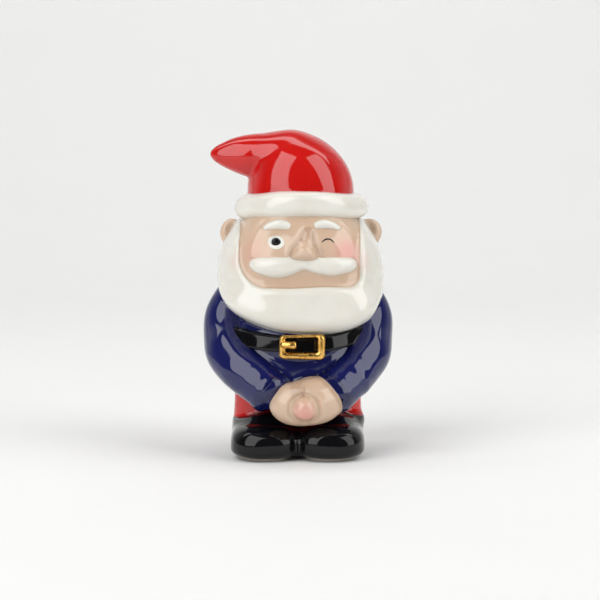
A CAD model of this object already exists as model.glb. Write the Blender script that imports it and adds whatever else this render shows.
"""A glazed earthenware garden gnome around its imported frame.

The figure is sculpted as distance fields, all in millimetres and all placed by the frame's own boxes. One
glaze skin runs over all of them with soft fillets, and each piece is the part of that skin nearest to its
own form.
"""

import math
from concurrent.futures import ThreadPoolExecutor

import bpy
import numpy as np
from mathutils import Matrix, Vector


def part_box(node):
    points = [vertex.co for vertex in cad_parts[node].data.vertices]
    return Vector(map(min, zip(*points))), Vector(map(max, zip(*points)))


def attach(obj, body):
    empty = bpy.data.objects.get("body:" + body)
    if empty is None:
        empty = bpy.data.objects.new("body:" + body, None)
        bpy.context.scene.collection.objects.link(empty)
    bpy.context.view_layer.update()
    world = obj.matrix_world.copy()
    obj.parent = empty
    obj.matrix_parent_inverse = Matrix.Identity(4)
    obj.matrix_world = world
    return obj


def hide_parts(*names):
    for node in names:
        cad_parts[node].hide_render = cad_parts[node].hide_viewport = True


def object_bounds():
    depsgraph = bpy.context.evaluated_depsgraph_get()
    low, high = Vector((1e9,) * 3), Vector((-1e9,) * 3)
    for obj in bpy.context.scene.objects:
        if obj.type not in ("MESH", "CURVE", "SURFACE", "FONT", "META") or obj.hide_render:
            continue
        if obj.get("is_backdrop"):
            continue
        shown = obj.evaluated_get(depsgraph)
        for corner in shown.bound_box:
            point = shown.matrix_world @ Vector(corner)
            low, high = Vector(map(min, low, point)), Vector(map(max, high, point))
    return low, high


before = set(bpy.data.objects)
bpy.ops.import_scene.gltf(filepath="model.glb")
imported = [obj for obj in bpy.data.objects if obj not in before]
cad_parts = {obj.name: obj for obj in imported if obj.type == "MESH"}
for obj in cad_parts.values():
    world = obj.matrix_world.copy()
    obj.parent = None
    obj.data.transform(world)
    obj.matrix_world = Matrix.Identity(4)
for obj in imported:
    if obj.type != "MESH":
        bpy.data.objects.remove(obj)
cad_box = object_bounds()

MM = 0.001
STEP_SCALE = 1.0  # coarser meshes while trying things
BODY = "root"
CHUNK = 120000  # points measured at a time


# ---------------------------------------------------------------- places, from the frame's boxes


def corners(*nodes):
    """Lowest and highest corner in mm of the box round some CAD nodes."""
    boxes = [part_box(node) for node in nodes]
    low = np.min([np.array(box[0]) for box in boxes], axis=0) / MM
    high = np.max([np.array(box[1]) for box in boxes], axis=0) / MM
    return low, high


class Place:
    """A box whose points are named by fractions. On the figure's right side, u runs outwards to -X."""

    def __init__(self, *nodes):
        self.low, self.high = corners(*nodes)
        self.size = self.high - self.low
        self.mirrored = nodes[0].endswith("_right")

    def at(self, u, v, w):
        across = 1 - u if self.mirrored else u
        return self.low + self.size * np.array([across, v, w])

    def path(self, *rows, steps=5):
        """A smooth line of (x, y, z, radius) through (u, v, w, radius / width) rows."""
        return smooth_line([(*self.at(u, v, w), radius * self.size[0]) for u, v, w, radius in rows], steps)


def smooth_line(rows, steps=5):
    """Points along a Catmull-Rom curve through the rows."""
    rows = np.array(rows, float)
    ends = np.vstack([2 * rows[0] - rows[1], rows, 2 * rows[-1] - rows[-2]])
    line = []
    for k in range(len(rows) - 1):
        a, b, c, d = ends[k : k + 4]
        for t in np.arange(steps) / steps:
            slope = (c - a) * t
            bend = (2 * a - 5 * b + 4 * c - d) * t**2
            twist = (3 * b - a - 3 * c + d) * t**3
            line.append(0.5 * (2 * b + slope + bend + twist))
    line.append(rows[-1])
    return np.array(line)


# ---------------------------------------------------------------- distance fields


def smooth_min(a, b, k):
    """The union of two forms, with a fillet that starts where they come within k of each other."""
    h = np.maximum(k - np.abs(a - b), 0) / k
    return np.minimum(a, b) - h * h * k / 4


def smooth_max(a, b, k):
    """What two forms share, with its edge rounded over k."""
    return -smooth_min(-a, -b, k)


def smooth_step(low, high, value):
    t = np.clip((value - low) / (high - low), 0, 1)
    return t * t * (3 - 2 * t)


def hump(offset, radius):
    """1 at the middle, falling smoothly to 0 over a few radii."""
    return np.exp(-((offset / radius) ** 2))


def ellipsoid(p, centre, radii):
    """Close to the distance from an ellipsoid, and exact on it."""
    q = (p - centre) / radii
    k0 = np.sqrt((q * q).sum(1)) + 1e-9
    k1 = np.sqrt(((q / radii) ** 2).sum(1)) + 1e-9
    return k0 * (k0 - 1) / k1


def tube(p, line):
    """A round tube along a line of (x, y, z, radius) points."""
    best = np.full(len(p), 1e9)
    for a, b in zip(line[:-1], line[1:]):
        along = b[:3] - a[:3]
        t = np.clip((p - a[:3]) @ along / (along @ along + 1e-9), 0, 1)
        gap = p - a[:3] - t[:, None] * along
        best = np.minimum(best, np.sqrt((gap * gap).sum(1)) - (a[3] + t * (b[3] - a[3])))
    return best


def rounded_box(q, half, corner):
    """Distance to a rounded box in any number of dimensions, from offsets to its middle."""
    edge = np.abs(q) - (np.asarray(half) - corner)
    outside = np.sqrt((np.maximum(edge, 0) ** 2).sum(1))
    return outside + np.minimum(edge.max(1), 0) - corner


def round_the_axis(p, centre, flatten):
    """Distance from an upright axis, on an ellipse narrowed in depth."""
    return np.hypot(p[:, 0] - centre[0], (p[:, 1] - centre[1]) / flatten)


UNEVEN_BY = 0.14  # mm
UNEVEN_WAVES = (((0.31, 0.17, 0.23), 0.5), ((-0.19, 0.33, 0.27), 2.1), ((0.26, -0.22, 0.37), 4.4))


def uneven(p):
    """The slow unevenness of hand-pressed clay, as a shift of each point."""
    shift = np.zeros_like(p)
    for axis, (direction, phase) in enumerate(UNEVEN_WAVES):
        shift[:, axis] = UNEVEN_BY * np.sin(p @ np.array(direction) + phase)
    return p + shift


# ---------------------------------------------------------------- head, hair and beard

MANE = Place("beard", "hair")
MANE_WIDE = MANE.at(0.5, 0.5195, 0.4646)  # the middle of its widest line
MANE_HALF = 0.5 * MANE.size[0]
MANE_FRONT = 0.502 * MANE.size[1]
MANE_BACK = 0.4716 * MANE.size[1]
MANE_DROP = 0.52 * MANE.size[2]
NAPE_DROP = 0.316 * MANE.size[2]
MANE_RISE_X = 0.765 * MANE.size[2]
MANE_RISE_Y = 0.985 * MANE.size[2]
SQUARENESS, JOWL = 2.35, 2.2  # how square it is seen from above, and how much more so in the beard
BEARD_SWEEP = 3.0  # mm by which the beard juts forward at its foot
BEARD_SKEW = 0.13  # how much further the beard hangs on the figure's left
PLUMP = 2.35  # roundness of the beard's outline seen from the front
HEAD_TOP = 92.5  # mm, where hair and head end inside the brim
NAPE_FROM, NAPE_TO = -8, 10  # over these depths the beard's shape turns into the nape's
SHORTEST_RISE = 0.05  # keeps the egg from closing to a point under the brim
PARTING = corners("hair")[0][1]


def mane_form(p):
    """The egg of beard and hair: tall over its widest line, full and short below, narrower at the nape."""
    x, y, z = (p - MANE_WIDE).T
    back = smooth_step(NAPE_FROM, NAPE_TO, y)
    below, above = np.maximum(-z, 0), np.maximum(z, 0)
    y = y + BEARD_SWEEP * smooth_step(4, 16, below) * (1 - back)
    left_x = np.maximum(1 - (above / MANE_RISE_X) ** 2, SHORTEST_RISE)
    left_y = np.maximum(1 - (above / MANE_RISE_Y) ** 2, SHORTEST_RISE)
    half = MANE_HALF * np.sqrt(left_x)
    depth = np.where(y < 0, MANE_FRONT, MANE_BACK) * np.sqrt(left_y)
    drop = (MANE_DROP + (NAPE_DROP - MANE_DROP) * back) * (1 + BEARD_SKEW * np.clip(x / MANE_HALF, -1, 1))
    nx, ny, nz = np.abs(x) / half, np.abs(y) / depth, below / drop
    m = SQUARENESS + JOWL * smooth_step(0, 12, below) * (1 - back)
    wide = (nx**PLUMP + nz**PLUMP + 1e-12) ** (1 / PLUMP)
    share_x, share_z = (nx / wide) ** (PLUMP - 1), (nz / wide) ** (PLUMP - 1)
    full = (wide**m + ny**m + 1e-12) ** (1 / m)
    per_wide, per_y = (wide / full) ** (m - 1), (ny / full) ** (m - 1)
    slope_x = per_wide * share_x / half
    slope_z = per_wide * (share_z / drop + share_x * nx * above / (MANE_RISE_X**2 * left_x))
    slope = np.sqrt(slope_x**2 + (per_y / depth) ** 2 + slope_z**2)
    egg = (full - 1) / np.maximum(slope, 0.6 / MANE_HALF)
    return smooth_max(egg, p[:, 2] - HEAD_TOP, 1.5)


BEARD_LOCKS, HAIR_LOCKS = 0.11, 0.20  # mm, how deep the locks are


def strands(p):
    """Soft locks low on the beard's left and down the back hair. The rest is smooth."""
    x, y, z = (p - MANE_WIDE).T
    swing = np.arctan2(x, np.abs(y) + 14)
    lock = np.sin(26 * swing + 0.5 * np.sin(z / 4.5)) + 0.5 * np.sin(47 * swing + z / 7 + 1.3)
    low = smooth_step(-3, -9, z) * smooth_step(-18, -14, z)
    left = smooth_step(5, 14, x)
    behind = smooth_step(3, 11, y)
    return (BEARD_LOCKS * low * left + HAIR_LOCKS * behind) * lock


FACE_MIDDLE = MANE.at(0.495, 0, 0)[0]
FACE_HALF = 0.351 * MANE.size[0]
FACE_FLOOR = MANE.at(0, 0, 0.386)[2]
FACE_CORNERS = 0.165 * MANE.size[0], 0.075 * MANE.size[0]  # round on the figure's right, tight on its left
EDGE_ROLL = 3.0  # how softly the beard's edge rolls over round the face


def face_opening(p):
    """The opening of beard and hair over the face, seen from the front: negative inside it."""
    x = p[:, 0] - FACE_MIDDLE
    corner = np.where(x < 0, *FACE_CORNERS)
    across = np.abs(x) - (FACE_HALF - corner)
    down = FACE_FLOOR + corner - p[:, 2] + 0.5 * smooth_step(-4, 16, x)
    outside = np.hypot(np.maximum(across, 0), np.maximum(down, 0))
    return outside + np.minimum(np.maximum(across, down), 0) - corner


def mane(p):
    opening = np.where(p[:, 1] < PARTING, -face_opening(p), -99.0)
    return smooth_max(mane_form(p) + strands(p), opening, EDGE_ROLL)


EYE, PUPIL, WINK, NOSE = Place("eye_white"), Place("eye_pupil"), Place("wink_line"), Place("nose")
MOUSTACHE = Place("moustache")
EYE_MIDDLE, WINK_MIDDLE = EYE.at(0.463, 0.5, 0.43), WINK.at(0.5, 0.5, 0.5)


SOCKET_DEPTH, CHEEK_HEIGHT, LIP_DEPTH = 0.75, 0.55, 0.45  # mm
SCALP_INSET = 1.9  # mm by which the head stays inside the hair
FACE_INSET = 1.15, 1.2  # mm at the face's edge, and how much more in its middle


def head(p):
    """The face: sockets under the brows, round cheeks, and a hollow under the moustache."""
    x, z = p[:, 0], p[:, 2]
    relief = np.zeros(len(p))
    for eye in (EYE_MIDDLE, WINK_MIDDLE):
        relief += SOCKET_DEPTH * hump(x - eye[0], 5.0) * hump(z - eye[2] - 1.6, 3.0)
    cheek_z = MOUSTACHE.high[2] + 0.8
    for side, eye in ((-1, EYE_MIDDLE), (1, WINK_MIDDLE)):
        relief -= CHEEK_HEIGHT * hump(x - eye[0] - side * 4.0, 5.6) * hump(z - cheek_z, 4.0)
    relief += LIP_DEPTH * hump(x - FACE_MIDDLE, 13) * hump(z - MOUSTACHE.low[2] - 0.5, 2.6)
    inset = FACE_INSET[0] + FACE_INSET[1] * hump(x - FACE_MIDDLE, 14)
    face = inset + relief * smooth_step(-8, -14, p[:, 1])
    return mane_form(p) + np.where(p[:, 1] < 0, face, SCALP_INSET)


def front_of(field, x, z):
    """The depth at which a line that runs back from the front first meets a form."""
    y = np.linspace(MANE.low[1] - 8, 0, 1600)
    line = np.column_stack([np.full(len(y), x), y, np.full(len(y), z)])
    return y[np.argmax(field(line) < 0)]


def on_face(row_points, sink):
    """Points (x, z, radius) laid on the face, sunk into it by a share of their radius."""
    rows = [(x, front_of(head, x, z) + sink * radius, z, radius) for x, z, radius in row_points]
    return smooth_line(rows)


def face_rows(place, rows):
    """Rows of (u, w, radius / width) in a node's box as (x, z, radius)."""
    points = [(place.at(u, 0, w), radius * place.size[0]) for u, w, radius in rows]
    return [(point[0], point[2], radius) for point, radius in points]


# From the figure's right end to its left: u, w, radius / width.
MOUSTACHE_ROWS = (
    (0.096, 0.600, 0.048),
    (0.132, 0.558, 0.064),
    (0.197, 0.507, 0.075),
    (0.293, 0.473, 0.083),
    (0.399, 0.533, 0.070),
    (0.519, 0.640, 0.048),
    (0.635, 0.560, 0.065),
    (0.764, 0.520, 0.075),
    (0.858, 0.547, 0.063),
    (0.906, 0.575, 0.056),
    (0.931, 0.590, 0.045),
)
MOUSTACHE_LINE = on_face(face_rows(MOUSTACHE, MOUSTACHE_ROWS), 0.15)


def moustache(p):
    return tube(p, MOUSTACHE_LINE)


NOSE_WIDTH = NOSE.size[0]
NOSE_BRIDGE = on_face(
    face_rows(NOSE, ((0.70, 0.78, 0.16), (0.66, 0.58, 0.22), (0.59, 0.36, 0.31))),
    0.35,
)
NOSE_TIP = NOSE.at(0.56, 0, 0.27)
NOSE_TIP[1] = NOSE_BRIDGE[-1][1] - 0.28 * NOSE_WIDTH
NOSE_TIP_RADII = NOSE_WIDTH * np.array([0.30, 0.35, 0.28])
NOSE_WINGS = (0.20, 0.15), (0.90, 0.15)
NOSE_WING_RADII = NOSE_WIDTH * np.array([0.23, 0.28, 0.17])
NOSE_FLOOR = NOSE.at(0, 0, 0.045)[2] + 0.5


def nose(p):
    """A bridge that widens to a tip between two wings. Its underside slopes up to the front."""
    form = smooth_min(tube(p, NOSE_BRIDGE), ellipsoid(p, NOSE_TIP, NOSE_TIP_RADII), 5.0)
    for u, w in NOSE_WINGS:
        wing = NOSE.at(u, 0, w)
        wing[1] = NOSE_TIP[1] + 0.24 * NOSE_WIDTH
        form = smooth_min(form, ellipsoid(p, wing, NOSE_WING_RADII), 4.5)
    ahead = p[:, 1] - NOSE_TIP[1] + 0.10 * NOSE_WIDTH
    underside = 0.87 * (NOSE_FLOOR - p[:, 2]) - 0.49 * ahead
    return smooth_max(form, underside, 1.4)


# From the inner end outwards: u, w, radius / width.
BROW_ROWS = (
    (0.043, 0.390, 0.130),
    (0.174, 0.463, 0.168),
    (0.413, 0.524, 0.174),
    (0.690, 0.366, 0.145),
    (0.880, 0.150, 0.105),
)


def brow(name, shift):
    """A short plump brow, with a flatter underside."""
    place = Place(name)
    line = on_face(face_rows(place, [(u + shift, w, radius) for u, w, radius in BROW_ROWS]), 0.25)
    under = place.at(0, 0, 0.06)[2]
    return lambda p: smooth_max(tube(p, line), under - p[:, 2], 0.8)


def ear(name):
    """A round ear with a hollow that faces forward."""
    place = Place(name)
    middle, dish = place.at(0.13, 0.45, 0.335), place.at(0.02, -0.16, 0.42)
    radii = np.array([0.93 * place.size[0], 0.50 * place.size[1], 0.60 * place.size[2]])
    dish_radii = np.array([0.64 * place.size[0], 0.50 * place.size[1], 0.46 * place.size[2]])
    return lambda p: smooth_max(ellipsoid(p, middle, radii), -ellipsoid(p, dish, dish_radii), 1.0)


def enamel(x, z, radius_x, radius_z, proud):
    """A thin spot of enamel that follows the face."""
    radii = np.array([radius_x, radius_z])

    def form(p):
        q = (p[:, [0, 2]] - (x, z)) / radii
        k0 = np.sqrt((q * q).sum(1)) + 1e-9
        disc = k0 * (k0 - 1) / (np.sqrt(((q / radii) ** 2).sum(1)) + 1e-9)
        face = head(p)
        return smooth_max(smooth_max(face - proud, disc, 0.2), -face - 0.7, 0.2)

    return form


PUPIL_MIDDLE = np.array([EYE_MIDDLE[0], front_of(head, EYE_MIDDLE[0], EYE_MIDDLE[2]) - 0.20, EYE_MIDDLE[2]])
PUPIL_RADII = np.array([0.58 * PUPIL.size[0], 0.75, 0.54 * PUPIL.size[2]])


def pupil(p):
    """A bead of black enamel."""
    return ellipsoid(p, PUPIL_MIDDLE, PUPIL_RADII)


WINK_ROWS = (
    (-0.067, 0.00, 0.033),
    (0.200, 0.44, 0.058),
    (0.510, 0.53, 0.062),
    (0.756, 0.28, 0.053),
    (0.933, -0.17, 0.027),
)
WINK_LINE = on_face(face_rows(WINK, WINK_ROWS), 0.1)


def wink(p):
    return tube(p, WINK_LINE)


# ---------------------------------------------------------------- hat

CAP, BRIM = Place("hat_cap"), Place("hat_brim")
CAP_MIDDLE = CAP.at(0.617, 0.5, 0.0)
CAP_RADII = np.array([0.368 * CAP.size[0], 0.496 * CAP.size[1], 0.946 * CAP.size[2]])
CAP_LEAN = 0.0060  # sideways shift over the square of the height, per mm
CAP_SKIRT = 6.0  # how far it runs down inside the brim
HORN = CAP.path(
    (0.525, 0.500, 0.535, 0.172),
    (0.419, 0.495, 0.545, 0.170),
    (0.318, 0.487, 0.556, 0.156),
    (0.230, 0.479, 0.567, 0.134),
    (0.150, 0.474, 0.580, 0.106),
    (0.085, 0.472, 0.588, 0.076),
    (0.045, 0.471, 0.590, 0.048),
    steps=9,
)


def cap(p):
    """A leaning dome that runs over into its folded tip. The fold is sharp low down and soft over the top."""
    rise = np.maximum(p[:, 2] - CAP_MIDDLE[2], 0)
    upright = p + np.column_stack([CAP_LEAN * rise**2, np.zeros(len(p)), np.zeros(len(p))])
    blend = 1.2 + 2.2 * smooth_step(0.40 * CAP.size[2], 0.62 * CAP.size[2], rise)
    form = smooth_min(ellipsoid(upright, CAP_MIDDLE, CAP_RADII), tube(p, HORN), blend)
    return smooth_max(form, CAP_MIDDLE[2] - CAP_SKIRT - p[:, 2], 1.0)


BRIM_MIDDLE = BRIM.at(0.5, 0.5, 0.453)
BRIM_FLATTEN = BRIM.size[1] / BRIM.size[0]
BRIM_HALF = np.array([0.096 * BRIM.size[0], 0.495 * BRIM.size[2]])
BRIM_ARCH = 0.22 * BRIM.size[2]  # how much lower it lies at the sides


def brim(p):
    """A thick roll, arched down and thinner at the sides, and a little uneven."""
    offset = p - BRIM_MIDDLE
    around = np.arctan2(offset[:, 1], offset[:, 0])
    sideways = np.clip((offset[:, 0] / (BRIM.size[0] / 2)) ** 2, 0, 1.2)
    lump = 0.10 * np.sin(3 * around + 0.6) + 0.06 * np.sin(5 * around + 2.2)
    reach = round_the_axis(p, BRIM_MIDDLE, BRIM_FLATTEN) - (BRIM.size[0] / 2 - BRIM_HALF[0])
    thinner = 0.35 * sideways
    q = np.column_stack([reach, offset[:, 2] - lump + BRIM_ARCH * sideways])
    edge = np.abs(q) - (BRIM_HALF - 0.86 * BRIM_HALF[0])
    edge[:, 1] += thinner
    outside = np.sqrt((np.maximum(edge, 0) ** 2).sum(1))
    return outside + np.minimum(edge.max(1), 0) - 0.86 * BRIM_HALF[0] - 0.4 * lump


# ---------------------------------------------------------------- coat, belt and buckle

COAT, BELT = Place("coat"), Place("belt")
BUCKLE, TONGUE = Place("buckle_frame"), Place("buckle_tongue")
COAT_FLATTEN = COAT.size[1] / COAT.size[0]
COAT_MIDDLE = COAT.at(0.5, 0.5, 0.5)
COAT_HEIGHTS = COAT.low[2] + COAT.size[2] * np.array([0.0, 0.16, 0.35, 0.57, 0.76, 0.89, 1.0])
COAT_RADII = COAT.size[0] / 2 * np.array([0.977, 1.0, 0.988, 0.954, 0.869, 0.746, 0.638])
HEIGHTS_FINE = np.linspace(COAT_HEIGHTS[0], COAT_HEIGHTS[-1], 60)


def eased_radii():
    """The coat's radius at fine steps, with the corners of its profile rounded off."""
    radii = np.interp(HEIGHTS_FINE, COAT_HEIGHTS, COAT_RADII)
    for _ in range(12):
        radii[1:-1] = 0.25 * radii[:-2] + 0.5 * radii[1:-1] + 0.25 * radii[2:]
    return radii


COAT_FINE = eased_radii()


def coat(p):
    """The coat's body, with a fold under the buckle and a rounded hem."""
    radius = np.interp(p[:, 2], HEIGHTS_FINE, COAT_FINE)
    side = round_the_axis(p, COAT_MIDDLE, COAT_FLATTEN) - radius
    fold_z = BUCKLE.low[2] - 1.4 + 0.02 * (p[:, 0] - BUCKLE.at(0.5, 0, 0)[0]) ** 2
    side = side + 0.30 * hump(p[:, 2] - fold_z, 0.9) * hump(p[:, 0], 11) * (p[:, 1] < 0)
    ends = np.abs(p[:, 2] - COAT_MIDDLE[2]) - COAT.size[2] / 2
    return smooth_max(0.95 * side, ends, 1.8)


BELT_MIDDLE = BELT.at(0.5, 0.5, 0.30)
BELT_FLATTEN = BELT.size[1] / BELT.size[0]
BELT_HALF = 0.275 * BELT.size[2]
BELT_SAG = 0.26 * BELT.size[2]  # how much higher it lies once it has left the belly's front
BELT_THICK = 4.0


def belt(p):
    """A flat strap with soft edges, which follows the coat's taper and sags in front."""
    height = p[:, 2] - BELT_MIDDLE[2] - BELT_SAG * np.clip((p[:, 1] - BELT.low[1]) / 11, 0, 1)
    outer = BELT.size[0] / 2 - 0.6 - 0.10 * height
    q = np.column_stack([round_the_axis(p, BELT_MIDDLE, BELT_FLATTEN) - (outer - BELT_THICK), height])
    return rounded_box(q, (BELT_THICK, BELT_HALF), 0.9)


WINDOW_X = BUCKLE.at(0.145, 0, 0)[0], BUCKLE.at(0.823, 0, 0)[0]
WINDOW_Z = BUCKLE.at(0, 0, 0.31)[2], BUCKLE.at(0, 0, 0.875)[2]


def buckle(p):
    """A cast frame with plump bars, broadest at its foot."""
    middle, half = BUCKLE.at(0.5, 0.5, 0.5), BUCKLE.size / 2
    q = p[:, [0, 2]]
    window = np.array([sum(WINDOW_X), sum(WINDOW_Z)]) / 2
    window_half = np.array([WINDOW_X[1] - WINDOW_X[0], WINDOW_Z[1] - WINDOW_Z[0]]) / 2
    outer = rounded_box(q - middle[[0, 2]], half[[0, 2]], 1.8)
    plate = smooth_max(outer, -rounded_box(q - window, window_half, 0.6), 0.8)
    worn = 0.03 * np.sin(0.9 * p[:, 0] + 0.5 * p[:, 2]) * np.sin(0.8 * p[:, 2] + 0.7)
    return smooth_max(plate, np.abs(p[:, 1] - middle[1]) - half[1], 1.8) + worn


TONGUE_LINE = TONGUE.path((0.03, 0.75, 0.53, 0.190), (0.30, 0.55, 0.53, 0.195), (0.52, 0.55, 0.53, 0.200))
TONGUE_END = TONGUE.at(0.70, 0, 0)[0]


def tongue(p):
    """A blunt bar from the frame's side to the middle of the window."""
    return smooth_max(tube(p, TONGUE_LINE), p[:, 0] - TONGUE_END, 0.7)


# ---------------------------------------------------------------- arms and hands

SLEEVE_ROWS = {
    "sleeve_right": (
        (0.462, 0.790, 0.985, 0.310),
        (0.609, 0.759, 0.770, 0.356),
        (0.632, 0.633, 0.591, 0.364),
        (0.585, 0.465, 0.454, 0.364),
        (0.427, 0.297, 0.337, 0.348),
        (0.206, 0.171, 0.234, 0.332),
        (0.071, 0.115, 0.170, 0.316),
    ),
    "sleeve_left": (
        (0.457, 0.786, 1.000, 0.338),
        (0.603, 0.755, 0.785, 0.385),
        (0.620, 0.627, 0.598, 0.389),
        (0.568, 0.456, 0.435, 0.385),
        (0.393, 0.285, 0.288, 0.359),
        (0.218, 0.157, 0.187, 0.346),
        (0.107, 0.100, 0.130, 0.333),
    ),
}
SLEEVE_STEPS, INSIDE_ELBOW = 11, 26  # points to a row, and the point that lies inside the elbow
FOLDS = {"sleeve_right": 0.05, "sleeve_left": 0.12}  # mm deep
CROOK = 0.12  # mm, the depth of the fold inside the elbow
CUFF_ROWS = ((0.52, 0.528, 0.595, 0.640), (0.36, 0.438, 0.472, 0.655), (0.20, 0.347, 0.350, 0.640))
CUFF_HALF = 2.2  # half of the width of a cuff's band


def sleeve(name):
    """A full sleeve with soft folds above the wrist and one inside the elbow."""
    line = Place(name).path(*SLEEVE_ROWS[name], steps=SLEEVE_STEPS)
    wrist, elbow = line[-1][:3], line[INSIDE_ELBOW][:3]

    def form(p):
        away = np.sqrt(((p - wrist) ** 2).sum(1))
        folds = FOLDS[name] * np.sin(away * 1.45 + 0.4) * hump(away - 9.5, 4.5)
        ahead = p[:, 1] - elbow[1]
        crook = CROOK * hump(p[:, 2] - elbow[2] - 0.25 * ahead, 1.6) * hump(ahead + 8, 5)
        return tube(p, line) + folds + crook

    return form


def cuff(name):
    """A rolled band round the wrist, square to the arm."""
    line = Place(name).path(*CUFF_ROWS)
    middle = line[len(line) // 2][:3]
    axis = line[-1][:3] - line[0][:3]
    axis = axis / np.sqrt(axis @ axis)
    return lambda p: smooth_max(tube(p, line), np.abs((p - middle) @ axis) - CUFF_HALF, 2.4)


THUMB = Place("thumb")
HANDS = Place("hand_right", "hand_left")
THUMB_MIDDLE = THUMB.at(0.47, 0.68, 0.56)
THUMB_RADII = THUMB.size[0] * np.array([0.50, 0.52, 0.455])


def clasp(p):
    """The grooves of the clasped hands: one round the thumb, a short one over it, and a knuckle."""
    x, z = p[:, 0] - THUMB_MIDDLE[0], p[:, 2] - THUMB_MIDDLE[2]
    round_thumb = np.hypot(x / THUMB_RADII[0], z / THUMB_RADII[2])
    deeper = 1 + 0.5 * hump(x - 4.2, 3.0) * hump(z - 2.2, 3.0)
    ring = 0.75 * deeper * hump(round_thumb - 1.20, 0.20)
    crease = 0.55 * hump(x + 0.3, 0.7) * smooth_step(3.5, 5.5, z) * smooth_step(9.5, 7.5, z)
    knuckle = -0.40 * hump(x - 6.2, 1.3) * hump(z - 1.6, 1.9)
    fingers = 0.14 * hump(x - 8.8, 0.8) * hump(z + 0.5, 3.5) + 0.14 * hump(x + 8.0, 0.8) * hump(z + 1.0, 3.5)
    front = smooth_step(HANDS.at(0, 0.75, 0)[1], HANDS.at(0, 0.35, 0)[1], p[:, 1])
    return (ring + crease + knuckle + fingers) * front


def hand(name, middle, radii):
    """One half of the clasp, as an ellipsoid set out by shares of its node's box."""
    place = Place(name)
    centre = place.at(*middle)
    sizes = np.array(radii) * place.size
    return lambda p: ellipsoid(p, centre, sizes) + clasp(p)


def thumb(p):
    return ellipsoid(p, THUMB_MIDDLE, THUMB_RADII)


# ---------------------------------------------------------------- legs and boots

TROUSERS = Place("trousers")
LEGS = 0.276, 0.724
LEG_RADII = np.array([0.274, 0.31]) * TROUSERS.size[:2]
TURN_UP = 0.15  # mm by which each leg widens at its foot


def leg_column(p, centre, radii, low, high, corner):
    """An upright elliptical column with rounded rims."""
    q = (p[:, :2] - centre[:2]) / radii
    k0 = np.sqrt((q * q).sum(1)) + 1e-9
    k1 = np.sqrt(((q / radii) ** 2).sum(1)) + 1e-9
    side = k0 * (k0 - 1) / k1
    return smooth_max(side, np.abs(p[:, 2] - (low + high) / 2) - (high - low) / 2, corner)


def trousers(p):
    """Two short legs that meet in the middle and run up inside the coat."""
    form = None
    for u in LEGS:
        centre = TROUSERS.at(u, 0.5, 0.5)
        radii = LEG_RADII + TURN_UP * hump(p[:, 2:3] - TROUSERS.low[2], 3.0)
        leg = leg_column(p, centre, radii, TROUSERS.low[2] - 1.5, TROUSERS.high[2] + 4, 1.5)
        form = leg if form is None else smooth_min(form, leg, 1.5)
    return form


def bulb(p, centre, radii, m):
    """An ellipsoid that gets squarer as m rises above 2."""
    q = np.abs(p - centre) / radii
    full = ((q**m).sum(1) + 1e-12) ** (1 / m)
    slope = np.sqrt((((q / full[:, None]) ** (m - 1) / radii) ** 2).sum(1))
    return (full - 1) / slope


def boot(name):
    """A bulbous toe cap and a raised instep before a short wide shaft, with a flat sole."""
    place = Place(name)
    toe, toe_radii = place.at(0.475, 0.375, 0.27), np.array([0.540, 0.385, 0.67]) * place.size
    shaft, shaft_radii = place.at(0.475, 0.66, 0), np.array([0.525, 0.333]) * place.size[:2]
    instep, instep_radii = place.at(0.42, 0.40, 0.60), np.array([0.46, 0.22, 0.62]) * place.size
    sole = place.low[2] - 0.7
    shaft_top = TROUSERS.low[2] - 0.1

    def form(p):
        column = leg_column(p, shaft, shaft_radii, sole - 2, shaft_top, 2.2)
        shape = smooth_min(bulb(p, toe, toe_radii, 2.7), ellipsoid(p, instep, instep_radii), 2.0)
        shape = smooth_min(shape, column, 3.0)
        return smooth_max(shape, sole - p[:, 2], 2.4)

    return form


# ---------------------------------------------------------------- the list of forms and pieces

# Each form's distance field, and how softly the glaze fills the corner where it meets the forms above it.
FORMS = {
    "coat": (coat, 0.8),
    "head": (head, 0.8),
    "mane": (mane, 1.6),
    "trousers": (trousers, 0.8),
    "boot_right": (boot("boot_right"), 0.9),
    "boot_left": (boot("boot_left"), 3.5),
    "belt": (belt, 0.4),
    "cap": (cap, 0.7),
    "brim": (brim, 0.7),
    "ear_right": (ear("ear_right"), 1.0),
    "ear_left": (ear("ear_left"), 1.0),
    "sleeve_right": (sleeve("sleeve_right"), 1.1),
    "sleeve_left": (sleeve("sleeve_left"), 1.1),
    "cuff_right": (cuff("cuff_right"), 1.6),
    "cuff_left": (cuff("cuff_left"), 1.6),
    "hand_right": (hand("hand_right", (0.265, 0.46, 0.512), (0.62, 0.50, 0.470)), 0.6),
    "hand_left": (hand("hand_left", (0.370, 0.475, 0.500), (0.55, 0.50, 0.478)), 3.0),
    "thumb": (thumb, 0.5),
    "nose": (nose, 3.0),
    "moustache": (moustache, 0.9),
    "eyebrow_right": (brow("eyebrow_right", 0.0), 0.9),
    "eyebrow_left": (brow("eyebrow_left", 0.11), 0.9),
    "eye_white": (enamel(EYE_MIDDLE[0], EYE_MIDDLE[2], 0.56 * EYE.size[0], 0.49 * EYE.size[2], 0.13), 0.15),
    "eye_pupil": (pupil, 0.1),
    "wink_line": (wink, 0.12),
    "buckle_frame": (buckle, 0.3),
    "buckle_tongue": (tongue, 0.3),
}


def in_front(p):
    return p[:, 1] - PARTING


def behind(p):
    return PARTING - p[:, 1]


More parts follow.
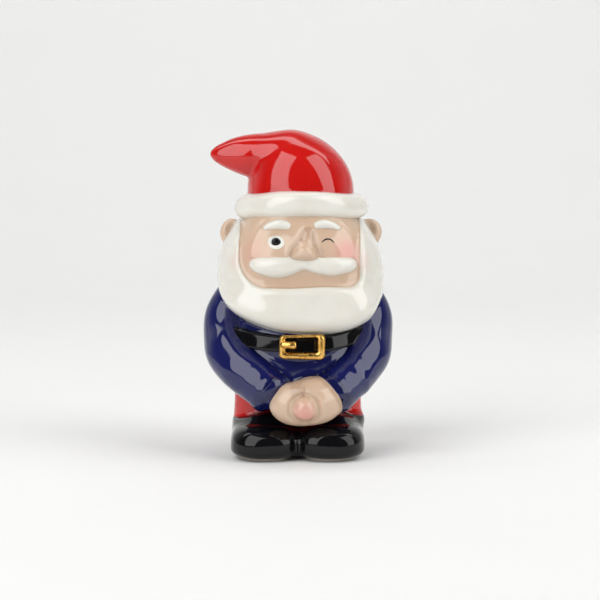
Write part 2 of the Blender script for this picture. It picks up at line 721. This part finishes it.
# Each piece: the CAD node that it replaces, its form, mesh step in mm, slot, and a plane that ends it.
PIECES = (
    ("coat", "coat", 0.50, "navy_glaze", None),
    ("head", "head", 0.42, "flesh_glaze", None),
    ("beard", "mane", 0.42, "white_glaze", in_front),
    ("hair", "mane", 0.50, "white_glaze", behind),
    ("trousers", "trousers", 0.50, "red_glaze", None),
    ("boot_right", "boot_right", 0.42, "black_glaze", None),
    ("boot_left", "boot_left", 0.42, "black_glaze", None),
    ("belt", "belt", 0.40, "black_glaze", None),
    ("hat_cap", "cap", 0.42, "red_glaze", None),
    ("hat_brim", "brim", 0.42, "white_glaze", None),
    ("ear_right", "ear_right", 0.25, "flesh_glaze", None),
    ("ear_left", "ear_left", 0.25, "flesh_glaze", None),
    ("sleeve_right", "sleeve_right", 0.45, "navy_glaze", None),
    ("sleeve_left", "sleeve_left", 0.45, "navy_glaze", None),
    ("cuff_right", "cuff_right", 0.35, "navy_glaze", None),
    ("cuff_left", "cuff_left", 0.35, "navy_glaze", None),
    ("hand_right", "hand_right", 0.30, "flesh_glaze", None),
    ("hand_left", "hand_left", 0.30, "flesh_glaze", None),
    ("thumb", "thumb", 0.22, "rosy_glaze", None),
    ("nose", "nose", 0.24, "flesh_glaze", None),
    ("moustache", "moustache", 0.26, "white_glaze", None),
    ("eyebrow_right", "eyebrow_right", 0.18, "white_glaze", None),
    ("eyebrow_left", "eyebrow_left", 0.18, "white_glaze", None),
    ("eye_white", "eye_white", 0.12, "white_glaze", None),
    ("eye_pupil", "eye_pupil", 0.10, "black_glaze", None),
    ("wink_line", "wink_line", 0.08, "black_glaze", None),
    ("buckle_frame", "buckle_frame", 0.18, "gold_lustre", None),
    ("buckle_tongue", "buckle_tongue", 0.14, "gold_lustre", None),
)
FORM_NODES = {
    "mane": ("beard", "hair"),
    "cap": ("hat_cap",),
    "brim": ("hat_brim",),
}
REACH = 4.5  # how far a form may stand outside its node's box, in mm


def form_box(form):
    """The box that a form is looked for in."""
    low, high = corners(*FORM_NODES.get(form, (form,)))
    return low - REACH, high + REACH


def near_forms(low, high):
    """The forms whose boxes meet a box, in the order in which the skin takes them."""
    near = []
    for form in FORMS:
        other_low, other_high = form_box(form)
        if np.all(other_low < high) and np.all(other_high > low):
            near.append(form)
    return near


def skin(p, near):
    """The glaze skin over the near forms, and each form's own distance."""
    q = uneven(p)
    own = np.array([FORMS[form][0](q) for form in near])
    surface = own[0]
    for distance, form in zip(own[1:], near[1:]):
        surface = smooth_min(surface, distance, FORMS[form][1])
    return surface, own


def measure(p, near, form, cut):
    """Negative inside one piece: under the skin, and nearer to its own form than to any other."""
    values = np.empty(len(p))
    index = near.index(form)
    for start in range(0, len(p), CHUNK):
        part = p[start : start + CHUNK]
        surface, own = skin(part, near)
        rivals = np.delete(own, index, axis=0)
        lead = own[index] - rivals.min(0) if len(rivals) else np.zeros(len(part))
        value = surface + np.maximum(lead, 0)
        values[start : start + CHUNK] = value if cut is None else np.maximum(value, cut(part))
    return values


# ---------------------------------------------------------------- surface nets

COARSE = 4  # mesh steps to a coarse cell


def sample(low, high, step, value_at):
    """Values on a fine grid, measured only where a coarse look says that the surface may pass."""
    wide = step * COARSE
    cells = np.ceil((high - low) / wide).astype(int)
    middles = [low[axis] + wide * (np.arange(cells[axis]) + 0.5) for axis in range(3)]
    grid = np.stack(np.meshgrid(*middles, indexing="ij"), -1).reshape(-1, 3)
    rough = value_at(grid).reshape(cells)
    active = np.abs(rough) < 1.5 * wide
    fine = cells * COARSE + 1
    values = np.empty(fine)
    spread = rough.repeat(COARSE, 0).repeat(COARSE, 1).repeat(COARSE, 2)
    values[:-1, :-1, :-1] = spread
    values[-1], values[:, -1], values[:, :, -1] = values[-2], values[:, -2], values[:, :, -2]
    wanted = np.zeros(fine, bool)
    blocks = active.repeat(COARSE, 0).repeat(COARSE, 1).repeat(COARSE, 2)
    for i in (0, 1):
        for j in (0, 1):
            for k in (0, 1):
                nx, ny, nz = blocks.shape
                wanted[i : i + nx, j : j + ny, k : k + nz] |= blocks
    index = np.argwhere(wanted)
    values[wanted] = value_at(low + step * index)
    return values


def surface_net(values, low, step):
    """Points and quads of the zero surface: one point in each cell that the surface crosses."""
    cells = np.array(values.shape) - 1
    total = np.zeros((int(np.prod(cells)), 3))
    count = np.zeros(int(np.prod(cells)))
    strides = np.array([cells[1] * cells[2], cells[2], 1])
    quads = []
    inside = values < 0
    for axis in range(3):
        ahead = [slice(None)] * 3
        behind_it = [slice(None)] * 3
        ahead[axis], behind_it[axis] = slice(1, None), slice(None, -1)
        crossing = np.argwhere(inside[tuple(ahead)] != inside[tuple(behind_it)])
        others = [k for k in range(3) if k != axis]
        keep = np.all((crossing[:, others] > 0) & (crossing[:, others] < cells[others]), axis=1)
        crossing = crossing[keep]
        far = crossing.copy()
        far[:, axis] += 1
        a, b = values[tuple(crossing.T)], values[tuple(far.T)]
        point = crossing.astype(float)
        point[:, axis] += a / (a - b)
        ring = []
        for first, second in ((-1, -1), (0, -1), (0, 0), (-1, 0)):
            cell = crossing.copy()
            cell[:, others[0]] += first
            cell[:, others[1]] += second
            flat = cell @ strides
            ring.append(flat)
            for k in range(3):
                total[:, k] += np.bincount(flat, point[:, k], len(total))
            count += np.bincount(flat, minlength=len(count))
        ring = np.array(ring).T
        flip = (a < 0) == (axis == 1)
        ring[flip] = ring[flip][:, ::-1]
        quads.append(ring)
    quads = np.vstack(quads)
    used = np.flatnonzero(count)
    number = np.full(len(count), -1)
    number[used] = np.arange(len(used))
    return low + step * total[used] / count[used][:, None], number[quads]


def neighbours_mean(points, quads, values):
    """The mean of a value over each point's neighbours along the quads' edges."""
    total = np.zeros_like(values, dtype=float)
    count = np.zeros(len(points))
    for k in range(4):
        a, b = quads[:, k], quads[:, (k + 1) % 4]
        for here, there in ((a, b), (b, a)):
            count += np.bincount(here, minlength=len(points))
            if values.ndim == 1:
                total += np.bincount(here, values[there], len(points))
            else:
                for axis in range(3):
                    total[:, axis] += np.bincount(here, values[there, axis], len(points))
    return total / (count if values.ndim == 1 else count[:, None])


FOUR_WAYS = np.array([(1, -1, -1), (-1, -1, 1), (-1, 1, -1), (1, 1, 1)])


def look_around(points, value_at, reach):
    """The value and the slope at each point, from four places round it."""
    values = np.array([value_at(points + reach * way) for way in FOUR_WAYS])
    return values.mean(0), values.T @ FOUR_WAYS / (4 * reach)


def settle(points, quads, value_at, step):
    """Evens out the net and lays its points exactly on the surface."""
    for _ in range(2):
        points = points + 0.5 * (neighbours_mean(points, quads, points) - points)
        value, slope = look_around(points, value_at, 0.12 * step)
        move = -slope * (value / np.maximum((slope * slope).sum(1), 0.1))[:, None]
        length = np.sqrt((move * move).sum(1)) + 1e-9
        points = points + move * np.minimum(1, 0.9 * step / length)[:, None]
    return points


FULL_POOL = 0.45  # mm of glaze that fills a corner


def pooled(points, near):
    """How much glaze has run into the corner between two forms at each point, from 0 to 1."""
    filled = np.empty(len(points))
    for start in range(0, len(points), CHUNK):
        surface, own = skin(points[start : start + CHUNK], near)
        filled[start : start + CHUNK] = own.min(0) - surface
    return np.clip(filled / FULL_POOL, 0, 1)


def hollowed(points, quads, step):
    """Signed curvature on the scale of a millimetre: above 0.5 in hollows and below it on ridges."""
    edge = np.roll(points[quads], -1, 1) - points[quads]
    normal_of_quad = np.cross(edge[:, 0], edge[:, 1])
    normal = np.zeros_like(points)
    for k in range(4):
        for axis in range(3):
            normal[:, axis] += np.bincount(quads[:, k], normal_of_quad[:, axis], len(points))
    normal /= np.sqrt((normal * normal).sum(1))[:, None] + 1e-12
    bend = ((neighbours_mean(points, quads, points) - points) * normal).sum(1) / step**2
    for _ in range(6):
        bend = neighbours_mean(points, quads, bend)
    return np.clip(0.5 + 1.2 * bend, 0, 1)


def sculpt(piece):
    """Everything that numpy makes of a piece: points, quads and the glaze's two attributes."""
    node, form, step, _, cut = piece
    step = step * STEP_SCALE
    low, high = form_box(form)
    if cut is in_front:
        high = np.array([high[0], PARTING + 2 * step, high[2]])
    if cut is behind:
        low = np.array([low[0], PARTING - 2 * step, low[2]])
    near = near_forms(low, high)

    def value_at(p):
        return measure(p, near, form, cut)

    values = sample(low, high, step, value_at)
    points, quads = surface_net(values, low, step)
    points = settle(points, quads, value_at, step)
    return node, points, quads, pooled(points, near), hollowed(points, quads, step)


# ---------------------------------------------------------------- materials


class Tree:
    """A short way to write a material's nodes."""

    def __init__(self, name):
        self.material = bpy.data.materials.new(name)
        self.material.use_nodes = True
        self.tree = self.material.node_tree
        self.shader = self.tree.nodes["Principled BSDF"]
        self.place = self.add("ShaderNodeTexCoord").outputs["Object"]

    def add(self, kind, **settings):
        node = self.tree.nodes.new(kind)
        for key, value in settings.items():
            setattr(node, key, value)
        return node

    def put(self, socket, value):
        if isinstance(value, bpy.types.NodeSocket):
            self.tree.links.new(value, socket)
        else:
            socket.default_value = value

    def noise(self, wavelength, detail=2.0, rough=0.5):
        """Noise whose main lumps are a wavelength in mm across."""
        node = self.add("ShaderNodeTexNoise")
        self.put(node.inputs["Vector"], self.place)
        node.inputs["Scale"].default_value = 1 / (wavelength * MM)
        node.inputs["Detail"].default_value = detail
        node.inputs["Roughness"].default_value = rough
        return node.outputs["Fac"]

    def ranged(self, value, low, high, to_low=0.0, to_high=1.0):
        node = self.add("ShaderNodeMapRange", interpolation_type="SMOOTHSTEP")
        self.put(node.inputs["Value"], value)
        for key, number in (("From Min", low), ("From Max", high), ("To Min", to_low), ("To Max", to_high)):
            node.inputs[key].default_value = number
        return node.outputs["Result"]

    def mixed(self, share, a, b):
        node = self.add("ShaderNodeMix", data_type="RGBA")
        self.put(node.inputs["Factor"], share)
        self.put(node.inputs["A"], a)
        self.put(node.inputs["B"], b)
        return node.outputs["Result"]

    def attribute(self, name):
        return self.add("ShaderNodeAttribute", attribute_name=name).outputs["Fac"]

    def math(self, operation, a, b):
        node = self.add("ShaderNodeMath", operation=operation)
        self.put(node.inputs[0], a)
        self.put(node.inputs[1], b)
        return node.outputs["Value"]

    def glow(self, centre, radius, strength):
        """1 at a point of the object and 0 at a radius from it, both in mm, times a strength."""
        node = self.add("ShaderNodeVectorMath", operation="DISTANCE")
        self.put(node.inputs[0], self.place)
        node.inputs[1].default_value = [value * MM for value in centre]
        return self.ranged(node.outputs["Value"], 0.0, radius * MM, strength, 0.0)

    def specks(self, spacing, size):
        """Sparse pinholes: 1 inside a pinhole."""
        node = self.add("ShaderNodeTexVoronoi")
        self.put(node.inputs["Vector"], self.place)
        node.inputs["Scale"].default_value = 1 / (spacing * MM)
        return self.ranged(node.outputs["Distance"], 0.0, size / spacing, 1.0, 0.0)

    def bump(self, height, strength, distance):
        node = self.add("ShaderNodeBump")
        node.inputs["Strength"].default_value = strength
        node.inputs["Distance"].default_value = distance * MM
        self.put(node.inputs["Height"], height)
        return node.outputs["Normal"]


def opaque(colour):
    return (*colour, 1.0)


def glaze(name, colour, deep, thin, soft=0.0, gloss=0.05, blushes=(), mirror=0.5):
    """A clear gloss over a coloured glaze: darker where it pools, thinner and lighter on the ridges."""
    t = Tree(name)
    pool = t.attribute("pool")
    hollow = t.attribute("hollow")
    base = t.mixed(t.ranged(t.noise(9.0, 3.0), 0.35, 0.7, 0.0, 0.10), opaque(colour), opaque(deep))
    base = t.mixed(t.ranged(hollow, 0.44, 0.22, 0.0, 0.50), base, opaque(thin))
    base = t.mixed(t.ranged(hollow, 0.56, 0.90, 0.0, 0.35), base, opaque(deep))
    base = t.mixed(t.ranged(pool, 0.05, 0.95, 0.0, 0.55), base, opaque(deep))
    for centre, radius, strength, tint in blushes:
        base = t.mixed(t.glow(centre, radius, strength), base, opaque(tint))
    pits = t.specks(5.5, 0.09)
    base = t.mixed(t.math("MULTIPLY", pits, 0.30), base, opaque([0.5 * channel for channel in deep]))
    t.put(t.shader.inputs["Base Color"], base)
    t.put(t.shader.inputs["Roughness"], t.ranged(t.noise(2.5), 0.3, 0.7, gloss, gloss + 0.05))
    t.shader.inputs["IOR"].default_value = 1.5
    t.shader.inputs["Specular IOR Level"].default_value = mirror
    t.shader.inputs["Coat Weight"].default_value = 0.5 * mirror
    t.shader.inputs["Coat Roughness"].default_value = 0.025
    if soft:
        t.shader.inputs["Subsurface Weight"].default_value = soft
        t.shader.inputs["Subsurface Radius"].default_value = (1.0, 0.55, 0.35)
        t.shader.inputs["Subsurface Scale"].default_value = 1.2 * MM
    waves = t.math("ADD", t.noise(7.0, 1.0), t.math("MULTIPLY", t.noise(1.1, 2.0), 0.06))
    height = t.math("SUBTRACT", waves, t.math("MULTIPLY", pits, 0.12))
    t.put(t.shader.inputs["Normal"], t.bump(height, 0.5, 0.20))
    return t.material


def lustre(name):
    """Gold lustre brushed on by hand: brown where it pools and worn on the bars' edges."""
    t = Tree(name)
    bright, dull, dark = (0.86, 0.53, 0.15), (0.62, 0.33, 0.07), (0.16, 0.07, 0.015)
    base = t.mixed(t.ranged(t.noise(1.8, 3.0), 0.35, 0.65), opaque(bright), opaque(dull))
    base = t.mixed(t.ranged(t.attribute("hollow"), 0.52, 0.75, 0.0, 0.8), base, opaque(dark))
    base = t.mixed(t.ranged(t.attribute("pool"), 0.1, 0.9, 0.0, 0.85), base, opaque(dark))
    t.put(t.shader.inputs["Base Color"], base)
    t.shader.inputs["Metallic"].default_value = 1.0
    t.put(t.shader.inputs["Roughness"], t.ranged(t.noise(1.2, 3.0), 0.3, 0.7, 0.16, 0.34))
    t.put(t.shader.inputs["Normal"], t.bump(t.noise(2.4, 2.0), 0.4, 0.05))
    return t.material


def bare_clay(name):
    """Unglazed buff clay with grog specks."""
    t = Tree(name)
    dark_clay, light_clay, speck = (0.72, 0.62, 0.49), (0.82, 0.74, 0.62), (0.32, 0.22, 0.15)
    base = t.mixed(t.ranged(t.noise(3.0, 4.0), 0.3, 0.7), opaque(dark_clay), opaque(light_clay))
    grog = t.specks(1.3, 0.16)
    base = t.mixed(t.math("MULTIPLY", grog, 0.6), base, opaque(speck))
    t.put(t.shader.inputs["Base Color"], base)
    t.put(t.shader.inputs["Roughness"], t.ranged(t.noise(1.0), 0.3, 0.7, 0.75, 0.92))
    t.put(t.shader.inputs["Normal"], t.bump(t.noise(0.5, 4.0), 0.5, 0.12))
    return t.material


def matte(name, colour):
    """A plain dull paint, very faintly clouded."""
    t = Tree(name)
    clouded = [0.98 * channel for channel in colour]
    t.put(t.shader.inputs["Base Color"], t.mixed(t.noise(60.0), opaque(colour), opaque(clouded)))
    t.shader.inputs["Roughness"].default_value = 0.85
    return t.material


def on_skin(field, x, z):
    """The point of a form's front at x and z."""
    return (x, front_of(field, x, z), z)


def make_materials():
    """Every slot's material. A glaze's colours are its own, then where it pools and where it thins."""
    pink, faint_pink = (0.80, 0.23, 0.25), (0.84, 0.42, 0.38)
    blush_z = WINK_MIDDLE[2] - 4.4
    left_cheek, right_cheek = WINK_MIDDLE[0] + 7.0, EYE_MIDDLE[0] - 8.5
    blushes = (
        (on_skin(head, left_cheek, blush_z), 8.0, 0.52, pink),
        (on_skin(head, right_cheek, blush_z), 8.0, 0.18, pink),
    )
    spill_z = blush_z - 3.5
    spills = (
        (on_skin(mane, left_cheek + 6.0, spill_z), 6.5, 0.20, faint_pink),
        (on_skin(mane, right_cheek - 6.0, spill_z), 6.5, 0.16, faint_pink),
    )
    thumb_tip = (THUMB_MIDDLE[0], THUMB.low[1], THUMB.at(0, 0, 0.34)[2])
    rosy_tip = ((thumb_tip, 8.5, 0.50, pink),)
    flesh = (0.66, 0.48, 0.35), (0.40, 0.25, 0.155), (0.75, 0.60, 0.48)
    white = (0.78, 0.765, 0.70), (0.52, 0.40, 0.26), (0.82, 0.81, 0.76)
    red = (0.58, 0.008, 0.006), (0.20, 0.003, 0.003), (0.72, 0.03, 0.022)
    navy = (0.008, 0.011, 0.090), (0.003, 0.004, 0.028), (0.024, 0.032, 0.20)
    black = (0.004, 0.004, 0.005), (0.002, 0.002, 0.002), (0.014, 0.013, 0.014)
    return {
        "flesh_glaze": glaze("flesh_glaze", *flesh, soft=0.15, gloss=0.06, blushes=blushes),
        "rosy_glaze": glaze("rosy_glaze", *flesh, soft=0.15, gloss=0.06, blushes=rosy_tip),
        "white_glaze": glaze("white_glaze", *white, soft=0.15, gloss=0.07, blushes=spills),
        "red_glaze": glaze("red_glaze", *red),
        "navy_glaze": glaze("navy_glaze", *navy),
        "black_glaze": glaze("black_glaze", *black, mirror=0.25),
        "gold_lustre": lustre("gold_lustre"),
        "bare_clay": bare_clay("bare_clay"),
    }


# ---------------------------------------------------------------- pieces


def make_mesh(name, points, quads, pool, hollow):
    """A smooth mesh of quads that carries the glaze's two attributes."""
    mesh = bpy.data.meshes.new(name)
    mesh.vertices.add(len(points))
    mesh.vertices.foreach_set("co", (points * MM).astype(np.float32).ravel())
    mesh.loops.add(4 * len(quads))
    mesh.loops.foreach_set("vertex_index", quads.astype(np.int32).ravel())
    mesh.polygons.add(len(quads))
    mesh.polygons.foreach_set("loop_start", np.arange(0, 4 * len(quads), 4, dtype=np.int32))
    mesh.update(calc_edges=True)
    mesh.validate()
    for label, values in (("pool", pool), ("hollow", hollow)):
        mesh.attributes.new(label, "FLOAT", "POINT").data.foreach_set("value", values.astype(np.float32))
    mesh.shade_smooth()
    return mesh


def make_pieces(materials):
    """One sculpted piece for each CAD node but the base plate, which keeps its shape."""
    with ThreadPoolExecutor(4) as pool:
        results = list(pool.map(sculpt, PIECES))
    for (node, points, quads, filled, hollow), piece in zip(results, PIECES):
        slot = piece[3]
        mesh = make_mesh(node + "_glazed", points, quads, filled, hollow)
        mesh.materials.append(materials[slot])
        obj = bpy.data.objects.new(node + "_glazed", mesh)
        bpy.context.scene.collection.objects.link(obj)
        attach(obj, BODY)
        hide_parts(node)
    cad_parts["base_plate"].data.materials[0] = materials["bare_clay"]


# ---------------------------------------------------------------- studio

# Everything in the studio is in metres.
LOOK_AT = Vector((0.0009, 0.0, 0.056))
CAMERA_DISTANCE, CAMERA_RISE = 0.745, math.radians(6.1)
LENS, SENSOR = 120.0, 36.0  # mm
SWEEP_START, SWEEP_RADIUS, SWEEP_TOP, SWEEP_HALF = 0.5, 0.7, 2.6, 1.6
FLOOR_FRONT = -3.0
BACKDROP_MIDDLE = Vector((0, SWEEP_START + SWEEP_RADIUS, 0.35))
# Name, azimuth in degrees, rise over the figure's middle, distance, size, radiance and target.
LIGHTS = (
    ("softbox_right_hand", -44, 0.55, 0.80, (0.74, 1.25), 2.85, LOOK_AT),
    ("softbox_left_hand", 64, 0.50, 0.85, (0.62, 1.20), 2.65, LOOK_AT),
    ("backdrop_light", 180, 1.1, 0.25, (2.4, 0.5), 2.6, BACKDROP_MIDDLE),
)
WORLD_PALE = 0.93  # as the camera sees it


def look_from(obj, place, target):
    """Puts a camera or light in the scene, turned towards a target."""
    obj.location = place
    obj.rotation_euler = (target - place).to_track_quat("-Z", "Y").to_euler()
    bpy.context.scene.collection.objects.link(obj)


def make_camera():
    data = bpy.data.cameras.new("camera")
    data.lens, data.sensor_width = LENS, SENSOR
    data.clip_start = 0.01
    camera = bpy.data.objects.new("camera", data)
    back = Vector((0, -math.cos(CAMERA_RISE), math.sin(CAMERA_RISE))) * CAMERA_DISTANCE
    look_from(camera, LOOK_AT + back, LOOK_AT)
    bpy.context.scene.camera = camera


def softbox(name, azimuth, rise, distance, size, radiance, target):
    """A rectangular light. Azimuth 0 is in front of the figure, and positive is to its left."""
    data = bpy.data.lights.new(name, "AREA")
    data.shape = "RECTANGLE"
    data.size, data.size_y = size
    data.energy = radiance * math.pi * size[0] * size[1]
    turn = math.radians(azimuth)
    place = LOOK_AT + Vector((math.sin(turn) * distance, -math.cos(turn) * distance, rise))
    look_from(bpy.data.objects.new(name, data), place, target)


def make_world():
    """Pale all round to the camera. In reflections it is bright behind, and dim in front."""
    world = bpy.data.worlds.new("studio")
    world.use_nodes = True
    bpy.context.scene.world = world
    tree = world.node_tree
    background = tree.nodes["Background"]
    direction = tree.nodes.new("ShaderNodeSeparateXYZ")
    source = tree.nodes.new("ShaderNodeTexCoord")
    tree.links.new(source.outputs["Generated"], direction.inputs[0])
    ramp = tree.nodes.new("ShaderNodeMapRange")
    ramp.interpolation_type = "SMOOTHSTEP"
    for key, number in (("From Min", -0.10), ("From Max", 0.95), ("To Min", 0.06), ("To Max", 0.85)):
        ramp.inputs[key].default_value = number
    tree.links.new(direction.outputs["Y"], ramp.inputs["Value"])
    seen = tree.nodes.new("ShaderNodeLightPath")
    choice = tree.nodes.new("ShaderNodeMix")
    tree.links.new(seen.outputs["Is Camera Ray"], choice.inputs["Factor"])
    tree.links.new(ramp.outputs["Result"], choice.inputs["A"])
    choice.inputs["B"].default_value = WORLD_PALE
    tree.links.new(choice.outputs["Result"], background.inputs["Strength"])
    background.inputs["Color"].default_value = (1.0, 1.0, 1.0, 1.0)


def make_floor():
    """A floor that curves up into a plain backdrop, with no horizon."""
    turns = np.linspace(0, math.pi / 2, 33)
    profile = [(FLOOR_FRONT, 0.0)]
    profile += [(SWEEP_START + SWEEP_RADIUS * math.sin(t), SWEEP_RADIUS * (1 - math.cos(t))) for t in turns]
    profile += [(SWEEP_START + SWEEP_RADIUS, SWEEP_TOP)]
    points = [(x, y, z) for y, z in profile for x in (-SWEEP_HALF, SWEEP_HALF)]
    faces = [(2 * k, 2 * k + 1, 2 * k + 3, 2 * k + 2) for k in range(len(profile) - 1)]
    mesh = bpy.data.meshes.new("floor")
    mesh.from_pydata(points, [], faces)
    mesh.shade_smooth()
    mesh.materials.append(matte("pale_floor", (0.90, 0.90, 0.89)))
    floor = bpy.data.objects.new("floor", mesh)
    bpy.context.scene.collection.objects.link(floor)
    floor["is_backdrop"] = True


make_camera()
make_world()
make_floor()
for settings in LIGHTS:
    softbox(*settings)
bpy.context.scene.view_settings.view_transform = "Standard"
make_pieces(make_materials())

sizes = {"cad": cad_box, "visual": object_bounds()}
{key: [[float(v) for v in corner] for corner in box] for key, box in sizes.items()}
